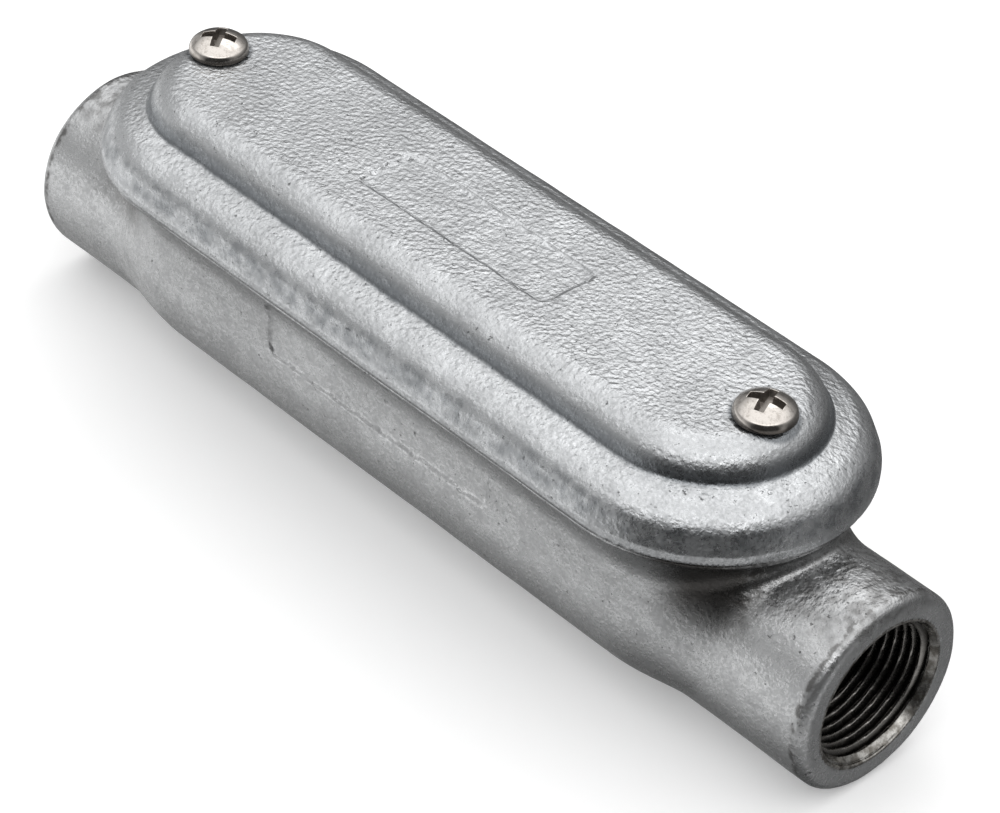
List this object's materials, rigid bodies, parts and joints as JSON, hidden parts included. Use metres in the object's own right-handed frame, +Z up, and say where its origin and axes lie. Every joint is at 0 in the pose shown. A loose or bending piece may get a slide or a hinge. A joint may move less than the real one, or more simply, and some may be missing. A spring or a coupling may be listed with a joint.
{
  "type": "conduit body",
  "caption": "Straight-through cast conduit body with a threaded hub at each end and a gasketed screw-on cover.",
  "frame": {"origin": "centre of the near hub's mouth, on the hub axis", "axes": "+X out of the near hub along the conduit, +Z up through the cover"},
  "size_m": [0.2424, 0.0702, 0.0747],
  "materials": {
    "galvanised_body": "hot-dip zinc over a cast surface",
    "galvanised_cover": "hot-dip zinc over a pebbled cast surface",
    "gasket_rubber": "matt",
    "screw_steel": "polished stainless"
  },
  "bodies": {
    "casting": {"body": "galvanised_body", "gasket": "gasket_rubber"},
    "lid": {"cover": "galvanised_cover"},
    "near_screw": {"cover_screw_near": "screw_steel"},
    "far_screw": {"cover_screw_far": "screw_steel"}
  },
  "joints": [
    {"name": "cover_lift", "type": "slide", "parent": "casting", "child": "lid", "axis": [0, 0, 1], "range_m": [0, 0.06]},
    {"name": "near_screw_turn", "type": "hinge", "parent": "lid", "child": "near_screw", "pos_m": [-0.0375, 0, 0.0474], "axis": [0, 0, 1], "continuous": true},
    {"name": "far_screw_turn", "type": "hinge", "parent": "lid", "child": "far_screw", "pos_m": [-0.2049, 0, 0.0474], "axis": [0, 0, 1], "continuous": true}
  ]
}
